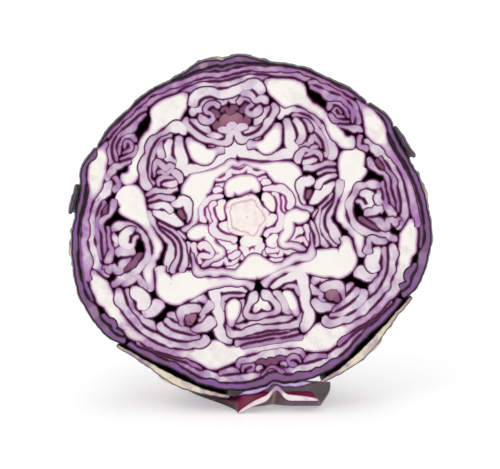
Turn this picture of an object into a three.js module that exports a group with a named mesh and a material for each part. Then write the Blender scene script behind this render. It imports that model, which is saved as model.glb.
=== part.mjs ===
// Half a red cabbage head, cut across, resting on its loose outer leaf. Millimetres, +Z up.
// Every leaf is drawn once as a line on the cut face, with its half thickness at each point.
// Behind the cut the whole pattern shrinks towards the stem, level by level.
import * as THREE from "three";
import { mergeGeometries, mergeVertices } from "three/addons/utils/BufferGeometryUtils.js";

const leanBack = THREE.MathUtils.degToRad(10); // the cut face leans away from upright
const roll = THREE.MathUtils.degToRad(9.3); // the head lies turned on its side
const faceHeight = 81.7; // from the ground to the middle of the cut face, before the lean
const leafGap = 0.6; // air between two leaves
const sampleStep = 4.8; // length of one straight piece along a leaf
const foldRatio = 2.2; // a leaf meets itself where its length is this many times the straight way

// Depth behind the cut, scale of the pattern there, and radius of the core there.
const levels = [
  { depth: 0, scale: 1, core: 6.4 },
  { depth: 14, scale: 1.015, core: 6.9 },
  { depth: 32, scale: 0.98, core: 7.8 },
  { depth: 46, scale: 0.87, core: 11 },
  { depth: 57, scale: 0.66, core: 13 },
  { depth: 66, scale: 0.3, core: 14 },
];
const stubDepth = 75; // where the cut stem ends
const coreSides = 16;

const colours = { heart: 0xe9cfd8, rib: 0xf3ece0, blade: 0xb99ac0, skin: 0x4b2743, core: 0xf0e2dc };

// Leaves that cross the middle line are drawn from their left end to the middle, and mirrored.
// Each point is x, z and half thickness. last is the level that the leaf reaches.
const crossingLeaves = {
  crown_rib: { last: 2, colour: "rib", line: [[-6.3, 11, 0.8], [-4.6, 13.4, 2.4], [-2.4, 13.7, 3.5], [0, 13.7, 3.6]] },
  crown_fold: {
    last: 2,
    colour: "heart",
    line: [[-11, 17.2, 0.6], [-8, 17.1, 0.8], [-5.4, 18, 0.8], [-3.8, 20.4, 0.7], [-2, 19.9, 0.6], [0, 19.1, 1]],
  },
  upper_ring_leaf: {
    last: 3,
    colour: "rib",
    line: [
      [-28.2, -1.6, 0.5], [-24, 0.2, 0.8], [-21.9, 3.4, 0.9], [-21.4, 7.4, 1.6], [-20.3, 11.2, 3.4],
      [-18.4, 15.3, 5.8], [-13.5, 18.9, 2.8], [-9.5, 20.2, 1.8], [-5.5, 21.6, 1.2], [-2.5, 22.9, 0.9], [0, 22.3, 1],
    ],
  },
  crown_leaf: {
    last: 3,
    colour: "blade",
    line: [
      [-22.9, 35.6, 0.6], [-23.6, 32, 1.3], [-23.2, 28, 1.9], [-23.8, 24.8, 1.7], [-19.5, 22.9, 1.1],
      [-14, 22.4, 1], [-9.5, 23.5, 1.4], [-5.5, 25.7, 2.2], [-2.4, 28.2, 3], [0, 29.2, 3.9],
    ],
  },
  heart_collar: {
    last: 3,
    colour: "blade",
    line: [
      [-18.6, 45, 0.6], [-18.4, 42, 0.9], [-15.6, 38.2, 1], [-11.6, 34.6, 1], [-7, 32.9, 1.1],
      [-3.6, 33, 1.1], [0, 36, 1.1],
    ],
  },
  heart_leaf: {
    last: 3,
    colour: "heart",
    line: [[-8, 41.4, 0.6], [-4.8, 39.8, 0.8], [-2.4, 41.6, 1.8], [0, 41.6, 2.6]],
  },
  upper_lobe_leaf: {
    last: 4,
    colour: "blade",
    line: [[-14.6, 50.4, 0.7], [-13.4, 52.8, 1.5], [-11, 54.3, 1], [-7, 54, 1.3], [-3, 52.9, 1.4], [0, 52.7, 1.4]],
  },
  upper_inner_leaf: {
    last: 4,
    colour: "blade",
    line: [[-19, 57, 0.6], [-14, 57.6, 0.9], [-8, 57.6, 1.5], [-3, 57, 1.4], [0, 56.6, 1.4]],
  },
  upper_wrapper: {
    last: 5,
    colour: "blade",
    line: [
      [-50.4, 44, 0.6], [-46, 47.8, 0.9], [-40, 52.4, 1], [-33.6, 56.4, 1], [-27, 58.5, 1], [-18, 60, 0.9],
      [-9, 61.4, 0.9], [0, 60.6, 0.9],
    ],
  },
  top_wrapper: {
    last: 5,
    colour: "skin",
    line: [
      [-56.4, 39.6, 0.6], [-50.4, 45.9, 0.8], [-44, 50.7, 0.8], [-37, 55.3, 0.8], [-30, 59.1, 0.8],
      [-22, 61.5, 0.8], [-16, 63.4, 1.1], [-11, 65.2, 1.7], [-6.5, 66.2, 1.7], [-2, 65.9, 1], [0, 65.4, 0.9],
    ],
  },
  lower_ring_leaf: {
    last: 2,
    colour: "rib",
    line: [
      [-25.6, -12.4, 0.7], [-24.8, -16.8, 0.9], [-22.6, -20.2, 0.9], [-18, -21.2, 0.9], [-12, -22.2, 0.9],
      [-8, -22.9, 1.2], [-4.5, -22.4, 2.8], [0, -21.4, 4.4],
    ],
  },
  lower_triangle_leaf: {
    last: 3,
    colour: "blade",
    line: [
      [-1.2, -31.2, 0.8], [-2.9, -33.6, 0.9], [-5.2, -36.4, 1], [-6.6, -39.4, 0.9], [-4.8, -41.5, 0.8],
      [0, -41.7, 0.9],
    ],
  },
  lower_first_band: { last: 3, colour: "blade", line: [[-12.4, -43.6, 0.6], [-10, -45, 0.9], [-5, -44.6, 0.9], [0, -44.4, 0.9]] },
  lower_second_band: {
    last: 3,
    colour: "blade",
    line: [[-15.6, -45, 0.6], [-14, -47.4, 1], [-9.6, -48.4, 1.2], [-5, -47.8, 1.2], [0, -47.6, 1.2]],
  },
  lower_third_band: { last: 4, colour: "blade", line: [[-12.4, -51.6, 0.7], [-8, -51.6, 1.1], [0, -51.3, 1.2]] },
  lower_rib_leaf: {
    last: 5,
    colour: "rib",
    line: [
      [-69, -12, 0.8], [-67, -16, 2.2], [-65.5, -20.4, 3.6], [-63.4, -26, 2.2], [-60.4, -32.4, 1.4],
      [-56.2, -38.8, 1.2], [-51.2, -44.2, 1.2], [-45.4, -48.7, 1.1], [-39, -51.8, 1.1], [-33, -53.6, 1.4],
      [-28, -54.6, 2.8], [-22.4, -55.4, 5], [-16.8, -56, 2.4], [-11, -55.6, 1.7], [0, -55.2, 1.8],
    ],
  },
  lower_fold: { last: 4, colour: "blade", line: [[-13.4, -62, 0.7], [-12.6, -59.8, 0.9], [-8, -59.2, 1.1], [0, -59, 1.3]] },
  lower_wrapper: {
    last: 5,
    colour: "blade",
    line: [
      [-54.4, -44.4, 0.7], [-49.4, -48.8, 0.9], [-43.6, -52.6, 0.9], [-37.4, -56, 1], [-32.6, -60, 1],
      [-27.6, -63.2, 1], [-21, -65.3, 1.1], [-13, -66.2, 1.1], [-6, -66.4, 1.1], [0, -64.8, 1],
    ],
  },
  bottom_wrapper: {
    last: 5,
    colour: "skin",
    line: [
      [-57, -46.3, 0.6], [-49.6, -51.9, 0.9], [-43, -55.8, 1], [-37, -60, 1], [-31.6, -64.4, 1], [-25.6, -67.4, 1],
      [-19.4, -69.5, 1], [-12, -70.6, 1.1], [-5, -70.2, 1.2], [0, -68.9, 1.1],
    ],
  },
};

// These leaves stand in pairs, left and right of the middle line.
const pairedLeaves = {
  bud_leaf: { last: 1, colour: "heart", line: [[-8, 8.6, 0.6], [-10.2, 6.6, 2], [-11, 3.6, 2.2], [-11.6, 0.4, 0.8]] },
  low_bud_leaf: { last: 1, colour: "heart", line: [[-11.4, -9.2, 0.6], [-9, -10.9, 1.9], [-8, -12.4, 2.3], [-10, -14.6, 0.6]] },
  side_ring_leaf: {
    last: 2,
    colour: "rib",
    line: [
      [-25.4, -3.6, 0.8], [-22.6, -3.3, 2.6], [-19.6, -3, 3.7], [-17.2, -4.4, 2], [-16.3, -8.2, 1.1],
      [-14.7, -10.9, 1.7], [-13.4, -13.2, 1.3], [-16.6, -15.2, 0.8], [-20.4, -16.9, 0.7],
    ],
  },
  lower_side_leaf: {
    last: 3,
    colour: "rib",
    line: [
      [-39.4, -15, 0.9], [-39.2, -18.8, 2], [-37.4, -24.2, 5.2], [-32.5, -24.4, 5.6], [-27.5, -24, 4.2],
      [-22.5, -24, 1.8], [-17, -24.1, 1.1], [-11, -24.8, 1.1], [-6.8, -26.6, 1.2], [-3.4, -29.4, 0.9],
    ],
  },
  stripe_leaf: {
    last: 3,
    colour: "blade",
    line: [
      [-40.2, 9.6, 0.7], [-39.7, 5.4, 0.9], [-38.4, 1.6, 1.1], [-35.9, -2, 1.2], [-33.4, -5.2, 1.1],
      [-32.7, -8.6, 1], [-34.2, -12.4, 0.9], [-36, -15.6, 0.6],
    ],
  },
  petal_leaf: {
    last: 3,
    colour: "blade",
    line: [[-38.2, 8.6, 0.8], [-35.4, 6.6, 1.9], [-32.2, 4.8, 2.7], [-29.4, 3, 2.1], [-27.2, 1.4, 0.8]],
  },
  pocket_leaf: {
    last: 3,
    colour: "blade",
    line: [
      [-20, 38.8, 1.1], [-21.8, 41.2, 2.2], [-25.4, 41.8, 1.2], [-29.8, 40.4, 0.9], [-33.8, 37.4, 0.9],
      [-36.8, 33.3, 0.9], [-38.6, 28.6, 0.9], [-39.4, 23.6, 0.9], [-39, 19, 0.8],
    ],
  },
  upper_side_leaf: {
    last: 4,
    colour: "rib",
    line: [
      [-18, 55, 0.7], [-21, 52.6, 3.2], [-25, 49.6, 5], [-28.8, 47.2, 4.6], [-33.4, 42.7, 1.8], [-37.4, 38.2, 1.6],
      [-40.6, 33.3, 1.8], [-43.4, 28.2, 1.8], [-46.6, 24.6, 1.5], [-50, 23.6, 0.8],
    ],
  },
  side_rib_leaf: {
    last: 4,
    colour: "rib",
    line: [
      [-51, 19.2, 1.5], [-47.4, 15.2, 5.4], [-46, 10.8, 4.6], [-43.5, 6.4, 2.2], [-41.9, 2.4, 1.2],
      [-40.1, -1.8, 1.3], [-38.6, -5.8, 1.9], [-39.3, -9.4, 1.7], [-42.2, -12.8, 0.9], [-44.8, -15.6, 1.5],
      [-45.2, -19.6, 1.6], [-44.2, -24.4, 0.8],
    ],
  },
  curl_leaf: {
    last: 4,
    colour: "blade",
    line: [
      [-57.4, 3, 0.7], [-54.8, 5, 0.9], [-51.4, 5.6, 1], [-47.6, 4.4, 1], [-44.9, 1.4, 1], [-43.5, -2.6, 0.9],
      [-43.3, -7, 0.9], [-44.9, -10.6, 0.9], [-48, -13.2, 1], [-51.4, -15.3, 1.2], [-55.4, -17, 1.1], [-59, -18.8, 0.9],
    ],
  },
  hook_leaf: {
    last: 4,
    colour: "blade",
    line: [
      [-55.2, 16.8, 0.7], [-55.4, 13, 0.9], [-56.8, 9.8, 1.1], [-60, 8.4, 0.9], [-61, 5.8, 0.8], [-60, 2, 0.8],
      [-61, -2, 0.8], [-62, -6, 0.7],
    ],
  },
  lower_bulb_leaf: {
    last: 4,
    colour: "blade",
    line: [
      [-58.4, -22, 1.2], [-57.2, -27.4, 1.4], [-55.2, -33, 1.3], [-51.8, -38.4, 1.2], [-47.2, -43, 1.2],
      [-41.4, -46.6, 1.2], [-35, -48.8, 1], [-28, -49, 0.9], [-24.4, -46.6, 0.7],
    ],
  },
  hammer_leaf: {
    last: 3,
    colour: "blade",
    line: [
      [-7.4, -29.6, 1.6], [-12, -28.4, 1.7], [-17, -28.4, 1.7], [-18.2, -33.4, 1.4], [-18, -39, 1.4],
      [-18.6, -44, 1.2], [-17.2, -48.4, 1.1], [-15, -51.6, 0.7],
    ],
  },
  hammer_cell: { last: 3, colour: "rib", line: [[-11, -33.6, 1.3], [-12, -37.2, 3.2], [-13.3, -41.2, 1.6]] },
  inner_wrapper: {
    last: 5,
    colour: "blade",
    line: [
      [-53.4, 24.2, 0.8], [-57.6, 20.2, 1.1], [-61.4, 15, 1.2], [-64.2, 9, 1.2], [-65.8, 3, 1.2], [-66.2, -4, 1.2],
      [-65.4, -10, 1.1], [-62.4, -14.6, 0.8],
    ],
  },
  rib_wrapper: {
    last: 5,
    colour: "rib",
    line: [
      [-53.4, 41, 0.7], [-56, 37, 1.6], [-58.6, 32, 4], [-60, 27, 3.4], [-62.4, 21.4, 1.5], [-66, 14.4, 1.4],
      [-68.2, 7, 1.4], [-69.2, 0, 1.4], [-69.6, -7, 1.1], [-70.4, -13, 0.6],
    ],
  },
  side_wrapper: {
    last: 5,
    colour: "skin",
    line: [
      [-58, 38.4, 0.6], [-62, 34.4, 0.9], [-65.2, 29.6, 0.9], [-66, 23.6, 0.9], [-68.4, 17, 0.9], [-70.8, 10.4, 0.9],
      [-72.9, 4, 1], [-74.1, -3, 1], [-74.5, -12, 1], [-74.2, -20, 1], [-71.9, -27, 1.1], [-68.7, -34, 1.2],
      [-64.6, -40, 1.2], [-60, -43.8, 0.8],
    ],
  },
  side_flap: { last: 2, colour: "skin", line: [[-68.3, 24.6, 0.9], [-69.8, 21, 1.1], [-71.4, 17.2, 1], [-73.2, 13.2, 0.7]] },
  lower_flap: {
    last: 4,
    colour: "skin",
    line: [
      [-62.6, -44.6, 0.6], [-56, -50, 0.7], [-51, -54.4, 0.9], [-46, -58.8, 1.3], [-41, -63, 1.6], [-35.4, -66.6, 1.5],
      [-29.6, -69.6, 1], [-24, -71.9, 0.8], [-19.4, -73.4, 0.6],
    ],
  },
};

// The loose leaf under the head, in the part's own frame: seen along its length it is an arch at the cut,
// and it opens out flat on the ground further back.
const underLeaf = {
  stations: 9, // front to back
  columns: 13, // left to right
  frontLeft: -3.7, // x of the left foot at the cut
  frontRight: 29.9,
  backLeft: -34,
  backRight: 42,
  backY: 46,
  backRounding: 0.24, // how much shorter the two sides are than the middle
  widening: 1.8, // power of the curve that the sides follow as the leaf gets wider
  archTop: 8.2, // height of the arch at the cut, under the head
  archPower: 1.5, // how pointed the arch is
  rightFoot: 4.6, // height of the right foot at the cut
  opensOver: 16, // distance over which the arch comes down flat
  thickness: 1.7,
};

// Points along a leaf's line, close together, as {x, z, w}.
function denseLine(line) {
  const points = line.map(([x, z, w]) => new THREE.Vector3(x, z, w));
  const curve = new THREE.CatmullRomCurve3(points, false, "centripetal");
  const count = Math.max(6, Math.round(curve.getLength() / sampleStep)) * 3;
  return curve.getSpacedPoints(count).map((p) => ({ x: p.x, z: p.y, w: p.z }));
}

function mirrored(line) {
  return line.map((p) => ({ x: -p.x, z: p.z, w: p.w })).reverse();
}

// Length along the line up to each of its points.
function runningLength(line) {
  const lengths = [0];
  for (let i = 1; i < line.length; i += 1) {
    lengths.push(lengths[i - 1] + Math.hypot(line[i].x - line[i - 1].x, line[i].z - line[i - 1].z));
  }
  return lengths;
}

// A leaf is as thick as it wants to be, or as its neighbours leave room for: two discs on two leaves
// share the space between their centres in the ratio of their wanted sizes.
function pressTogether(leaves) {
  for (const leaf of leaves) {
    const lengths = runningLength(leaf.points);
    leaf.points.forEach((p, i) => {
      p.half = p.w;
      const closest = (q) => ((Math.hypot(p.x - q.x, p.z - q.z) - leafGap) * p.w) / (p.w + q.w);
      for (const other of leaves) {
        other.points.forEach((q, j) => {
          const apart = Math.hypot(p.x - q.x, p.z - q.z);
          const folded = Math.abs(lengths[i] - lengths[j]) > foldRatio * apart;
          if (other !== leaf || folded) p.half = Math.min(p.half, closest(q));
        });
      }
    });
  }
}

// The two sides of a leaf, as one closed outline on the cut face.
function outlineOf(points) {
  const kept = points.filter((p, i) => i % 3 === 0);
  const left = [];
  const right = [];
  kept.forEach((p, i) => {
    const before = kept[Math.max(i - 1, 0)];
    const after = kept[Math.min(i + 1, kept.length - 1)];
    const length = Math.hypot(after.x - before.x, after.z - before.z);
    const nx = -(after.z - before.z) / length;
    const nz = (after.x - before.x) / length;
    left.push(new THREE.Vector2(p.x + nx * p.half, p.z + nz * p.half));
    right.push(new THREE.Vector2(p.x - nx * p.half, p.z - nz * p.half));
  });
  return [...right, ...left.reverse()];
}

// A closed body from rings of equal count: the first and last rings are filled, and the rest are joined.
function bodyFromRings(rings, cap) {
  const count = rings[0].length;
  const index = [];
  for (let level = 0; level + 1 < rings.length; level += 1) {
    for (let i = 0; i < count; i += 1) {
      const a = level * count + i;
      const b = level * count + ((i + 1) % count);
      index.push(a, a + count, b, b, a + count, b + count);
    }
  }
  const last = (rings.length - 1) * count;
  for (const [a, b, c] of cap) {
    index.push(a, b, c);
    index.push(last + a, last + c, last + b);
  }
  const geometry = new THREE.BufferGeometry().setFromPoints(rings.flat());
  geometry.setIndex(index);
  return geometry;
}

// The pattern's outline carried back through the levels. x and z lie on the cut face, y is depth.
function loftBack(outline, lastLevel) {
  const rings = levels.slice(0, lastLevel + 1).map(({ depth, scale }) =>
    outline.map((p) => new THREE.Vector3(p.x * scale, depth, p.y * scale)));
  return bodyFromRings(rings, THREE.ShapeUtils.triangulateShape(outline, []));
}

function finished(geometry, name, colour) {
  const shaded = geometry.toNonIndexed();
  shaded.computeVertexNormals();
  const material = new THREE.MeshStandardMaterial({ color: colours[colour], roughness: 0.55, metalness: 0 });
  const mesh = new THREE.Mesh(shaded, material);
  mesh.name = name;
  return mesh;
}

// The stalk: a disc on the cut face, widening to the cut stem at the back.
function coreMesh() {
  const profile = [new THREE.Vector2(0, 0)];
  for (const level of levels) profile.push(new THREE.Vector2(level.core, level.depth));
  profile.push(new THREE.Vector2(levels[levels.length - 1].core, stubDepth));
  profile.push(new THREE.Vector2(0, stubDepth));
  const lathe = new THREE.LatheGeometry(profile, coreSides);
  lathe.deleteAttribute("normal");
  lathe.deleteAttribute("uv");
  return finished(mergeVertices(lathe, 1e-4), "head_core", "core");
}

// Height of the under leaf's lower side at a fraction across and a distance behind the cut.
function underHeight(across, behind) {
  const fade = Math.max(0, 1 - behind / underLeaf.opensOver);
  const arch = underLeaf.archTop * Math.sin(Math.PI * across) ** underLeaf.archPower;
  const foot = underLeaf.rightFoot * across;
  return (arch + foot) * fade * fade;
}

function underLeafMesh() {
  const { stations, columns, frontLeft, frontRight, backLeft, backRight, backY } = underLeaf;
  const rings = [];
  for (let j = 0; j < stations; j += 1) {
    const along = j / (stations - 1);
    const widen = Math.sin((along * Math.PI) / 2) ** underLeaf.widening;
    const left = frontLeft + (backLeft - frontLeft) * widen;
    const right = frontRight + (backRight - frontRight) * widen;
    const lower = [];
    const upper = [];
    for (let i = 0; i < columns; i += 1) {
      const across = i / (columns - 1);
      const frontY = (underHeight(across, 0) - faceHeight) * Math.tan(leanBack);
      const rounded = 1 - underLeaf.backRounding * (1 - Math.sin(Math.PI * across));
      const behind = along * (backY * rounded - frontY);
      const z = underHeight(across, behind);
      const x = left + (right - left) * across;
      lower.push(new THREE.Vector3(x, frontY + behind, z));
      upper.push(new THREE.Vector3(x, frontY + behind, z + underLeaf.thickness));
    }
    rings.push([...lower, ...upper.reverse()]);
  }
  const strip = [];
  for (let i = 0; i + 1 < columns; i += 1) {
    const above = 2 * columns - 1 - i;
    strip.push([i, i + 1, above], [i + 1, above - 1, above]);
  }
  return finished(bodyFromRings(rings, strip), "under_leaf", "skin");
}

const leaves = [];
for (const [name, leaf] of Object.entries(crossingLeaves)) {
  const half = denseLine(leaf.line);
  const whole = [...half, ...mirrored(half).slice(leaf.line[leaf.line.length - 1][0] === 0 ? 1 : 0)];
  leaves.push({ name, ...leaf, points: whole });
}
for (const [name, leaf] of Object.entries(pairedLeaves)) {
  const points = denseLine(leaf.line);
  leaves.push({ name: `${name}_left`, ...leaf, points });
  leaves.push({ name: `${name}_right`, ...leaf, points: mirrored(points) });
}
pressTogether(leaves);

const head = new THREE.Group();
head.position.z = faceHeight;
head.rotation.set(-leanBack, -roll, 0);
head.add(coreMesh());
for (const leaf of leaves) {
  head.add(finished(loftBack(outlineOf(leaf.points), leaf.last), leaf.name, leaf.colour));
}

const group = new THREE.Group();
group.add(head);
group.add(underLeafMesh());

// The origin is under the middle of the whole object, on the ground.
const middle = new THREE.Box3().setFromObject(group, true).getCenter(new THREE.Vector3());
group.position.set(-middle.x, -middle.y, 0);
export default group;
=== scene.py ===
import math
import bpy
import numpy as np
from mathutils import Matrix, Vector


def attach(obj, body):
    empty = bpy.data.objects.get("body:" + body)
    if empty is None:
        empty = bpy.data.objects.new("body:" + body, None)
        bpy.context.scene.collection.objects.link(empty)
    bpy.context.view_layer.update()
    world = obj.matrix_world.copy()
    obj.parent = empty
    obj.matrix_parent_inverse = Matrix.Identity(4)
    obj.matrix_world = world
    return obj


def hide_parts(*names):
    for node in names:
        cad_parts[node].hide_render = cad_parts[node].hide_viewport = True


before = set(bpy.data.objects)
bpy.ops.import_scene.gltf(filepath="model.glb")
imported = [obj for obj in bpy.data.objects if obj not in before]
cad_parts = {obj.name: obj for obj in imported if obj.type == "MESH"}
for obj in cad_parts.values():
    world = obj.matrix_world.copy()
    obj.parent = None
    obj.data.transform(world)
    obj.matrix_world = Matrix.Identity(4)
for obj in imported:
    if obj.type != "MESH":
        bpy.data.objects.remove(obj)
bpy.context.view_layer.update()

mm = 0.001
rng = np.random.default_rng(7)

# How the half head stands: the cut leans back and the head lies turned on its side.
head = {
    "leanBack": math.radians(10),
    "roll": math.radians(9.3),
    "domeDepth": 68.0,  # mm from the cut to where the leaves would meet behind
    "domeSquareness": 3.2,
    "belly": 0.02,  # the head is a little wider just behind the cut
    "bellyOver": 40,  # mm
}

# How the leaves pack and how fine their grids are, in mm.
packing = {
    "gap": 0.2,  # air between two leaves
    "swell": 1.1,  # how much thicker a leaf starts than its drawn line
    "runOn": 4.2,  # how far an end may run on to meet the next leaf
    "stopsAt": 0.5,  # air that it keeps there
    "ownTail": 6,  # an end doesn't stop at the last bit of its own line
    "rounds": 12,  # rounds of growing into the space that is left
    "growth": 0.35,  # the most that a side grows in one round
    "shrinks": 0.3,  # the most that it gives way
    "share": 0.48,  # its part of the room in front of it
    "most": 2.6,  # the most that it grows in all
    "sees": 4.5,  # a side that has nothing within this distance stays as it is
    "insideBend": 0.8,  # part of a bend's radius that its inner side may fill
    "capPoints": 5,  # points across each end
    "thinStart": 0.16,
    "thinnest": 0.12,
    "step": 0.7,  # spacing of the grid along a leaf
    "foldRatio": 2.2,  # a leaf meets its own fold where the way along it is this much longer
    "faceColumns": 11,
    "crumple": 0.2,  # height of the small waves along a leaf
    "wave": 9.5,  # their length
    "cutRelief": 0.14,  # how far the juicy middle of a cut leaf stands out
    "ragged": 1.5,  # how much shorter some leaves are behind
    "uneven": 0.25,  # how far a cut edge stands out or back
    "unevenOver": 4,
    "rim": 0.25,  # depth of the first row behind the cut
    "endRound": 1.2,  # length over which an end rounds off
    "veinHeight": 0.75,
    "veinSink": 0.1,
}

# Depth in mm that the leaves of each ring reach behind the cut.
reach = {"bud": 16.0, "ring": 33.0, "middle": 48.0, "outer": 60.0, "wrapper": 67.2}

# Each leaf is a line on the cut face, given for the right half: distance from the middle line, height and
# half thickness, in mm from the middle of the core. These leaves cross the middle line. They are given
# from one end to that line, and the rest is their mirror image.
crossingLeaves = {
    "crown_rib": ("ring", "rib", [(6.3, 11, 0.8), (4.6, 13.4, 2.4), (2.4, 13.7, 3.5), (0, 13.7, 3.6)]),
    "crown_fold": ("ring", "heart", [
        (11, 17.2, 0.6), (8, 17.1, 0.8), (5.4, 18, 0.8), (3.8, 20.4, 0.7), (2, 19.9, 0.6), (0, 19.1, 1)]),
    "upper_ring_leaf": ("middle", "rib", [
        (28.2, -1.6, 0.5), (24, 0.2, 0.8), (21.9, 3.4, 0.9), (21.4, 7.4, 1.6), (20.3, 11.2, 3.4),
        (18.4, 15.3, 5.8), (13.5, 18.9, 2.8), (9.5, 20.2, 1.8), (5.5, 21.6, 1.2), (2.5, 22.9, 0.9),
        (0, 22.3, 1)]),
    "crown_leaf": ("middle", "blade", [
        (22.9, 35.6, 0.6), (23.6, 32, 1.3), (23.2, 28, 1.9), (23.8, 24.8, 1.7), (19.5, 22.9, 1.1),
        (14, 22.4, 1), (9.5, 23.5, 1.4), (5.5, 25.7, 2.2), (2.4, 28.2, 3), (0, 29.2, 3.9)]),
    "heart_collar": ("middle", "blade", [
        (18.6, 45, 0.6), (18.4, 42, 0.9), (15.6, 38.2, 1), (11.6, 34.6, 1), (7, 32.9, 1.1), (3.6, 33, 1.1),
        (0, 36, 1.1)]),
    "heart_leaf": ("middle", "young", [(8, 41.4, 0.6), (4.8, 39.8, 0.8), (2.4, 41.6, 1.8), (0, 41.6, 2.6)]),
    "upper_lobe_leaf": ("outer", "blade", [
        (14.6, 50.4, 0.7), (13.4, 52.8, 1.5), (11, 54.3, 1), (7, 54, 1.3), (3, 52.9, 1.4), (0, 52.7, 1.4)]),
    "upper_inner_leaf": ("outer", "blade", [
        (19, 57, 0.6), (14, 57.6, 0.9), (8, 57.6, 1.5), (3, 57, 1.4), (0, 56.6, 1.4)]),
    "upper_wrapper": ("wrapper", "blade", [
        (50.4, 44, 0.6), (46, 47.8, 0.9), (40, 52.4, 1), (33.6, 56.4, 1), (27, 58.5, 1), (18, 60, 0.9),
        (9, 61.4, 0.9), (0, 60.6, 0.9)]),
    "top_wrapper": ("wrapper", "skin", [
        (56.4, 39.6, 0.6), (50.4, 45.9, 0.8), (44, 50.7, 0.8), (37, 55.3, 0.8), (30, 59.1, 0.8),
        (22, 61.5, 0.8), (16, 63.4, 1.1), (11, 65.2, 1.7), (6.5, 66.2, 1.7), (2, 65.9, 1), (0, 65.4, 0.9)]),
    "lower_ring_leaf": ("ring", "rib", [
        (25.6, -12.4, 0.7), (24.8, -16.8, 0.9), (22.6, -20.2, 0.9), (18, -21.2, 0.9), (12, -22.2, 0.9),
        (8, -22.9, 1.2), (4.5, -22.4, 2.8), (0, -21.4, 4.4)]),
    "lower_triangle_leaf": ("middle", "blade", [
        (1.2, -31.2, 0.8), (2.9, -33.6, 0.9), (5.2, -36.4, 1), (6.6, -39.4, 0.9), (4.8, -41.5, 0.8),
        (0, -41.7, 0.9)]),
    "lower_first_band": ("middle", "blade", [
        (12.4, -43.6, 0.6), (10, -45, 0.9), (5, -44.6, 0.9), (0, -44.4, 0.9)]),
    "lower_second_band": ("middle", "blade", [
        (15.6, -45, 0.6), (14, -47.4, 1), (9.6, -48.4, 1.2), (5, -47.8, 1.2), (0, -47.6, 1.2)]),
    "lower_third_band": ("outer", "blade", [(12.4, -51.6, 0.7), (8, -51.6, 1.1), (0, -51.3, 1.2)]),
    "lower_rib_leaf": ("wrapper", "rib", [
        (69, -12, 0.8), (67, -16, 2.2), (65.5, -20.4, 3.6), (63.4, -26, 2.2), (60.4, -32.4, 1.4),
        (56.2, -38.8, 1.2), (51.2, -44.2, 1.2), (45.4, -48.7, 1.1), (39, -51.8, 1.1), (33, -53.6, 1.4),
        (28, -54.6, 2.8), (22.4, -55.4, 5), (16.8, -56, 2.4), (11, -55.6, 1.7), (0, -55.2, 1.8)]),
    "lower_fold": ("outer", "blade", [
        (13.4, -62, 0.7), (12.6, -59.8, 0.9), (8, -59.2, 1.1), (0, -59, 1.3)]),
    "lower_wrapper": ("wrapper", "blade", [
        (54.4, -44.4, 0.7), (49.4, -48.8, 0.9), (43.6, -52.6, 0.9), (37.4, -56, 1), (32.6, -60, 1),
        (27.6, -63.2, 1), (21, -65.3, 1.1), (13, -66.2, 1.1), (6, -66.4, 1.1), (0, -64.8, 1)]),
    "bottom_wrapper": ("wrapper", "skin", [
        (57, -46.3, 0.6), (49.6, -51.9, 0.9), (43, -55.8, 1), (37, -60, 1), (31.6, -64.4, 1),
        (25.6, -67.4, 1), (19.4, -69.5, 1), (12, -70.6, 1.1), (5, -70.2, 1.2), (0, -68.9, 1.1)]),
}

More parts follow.
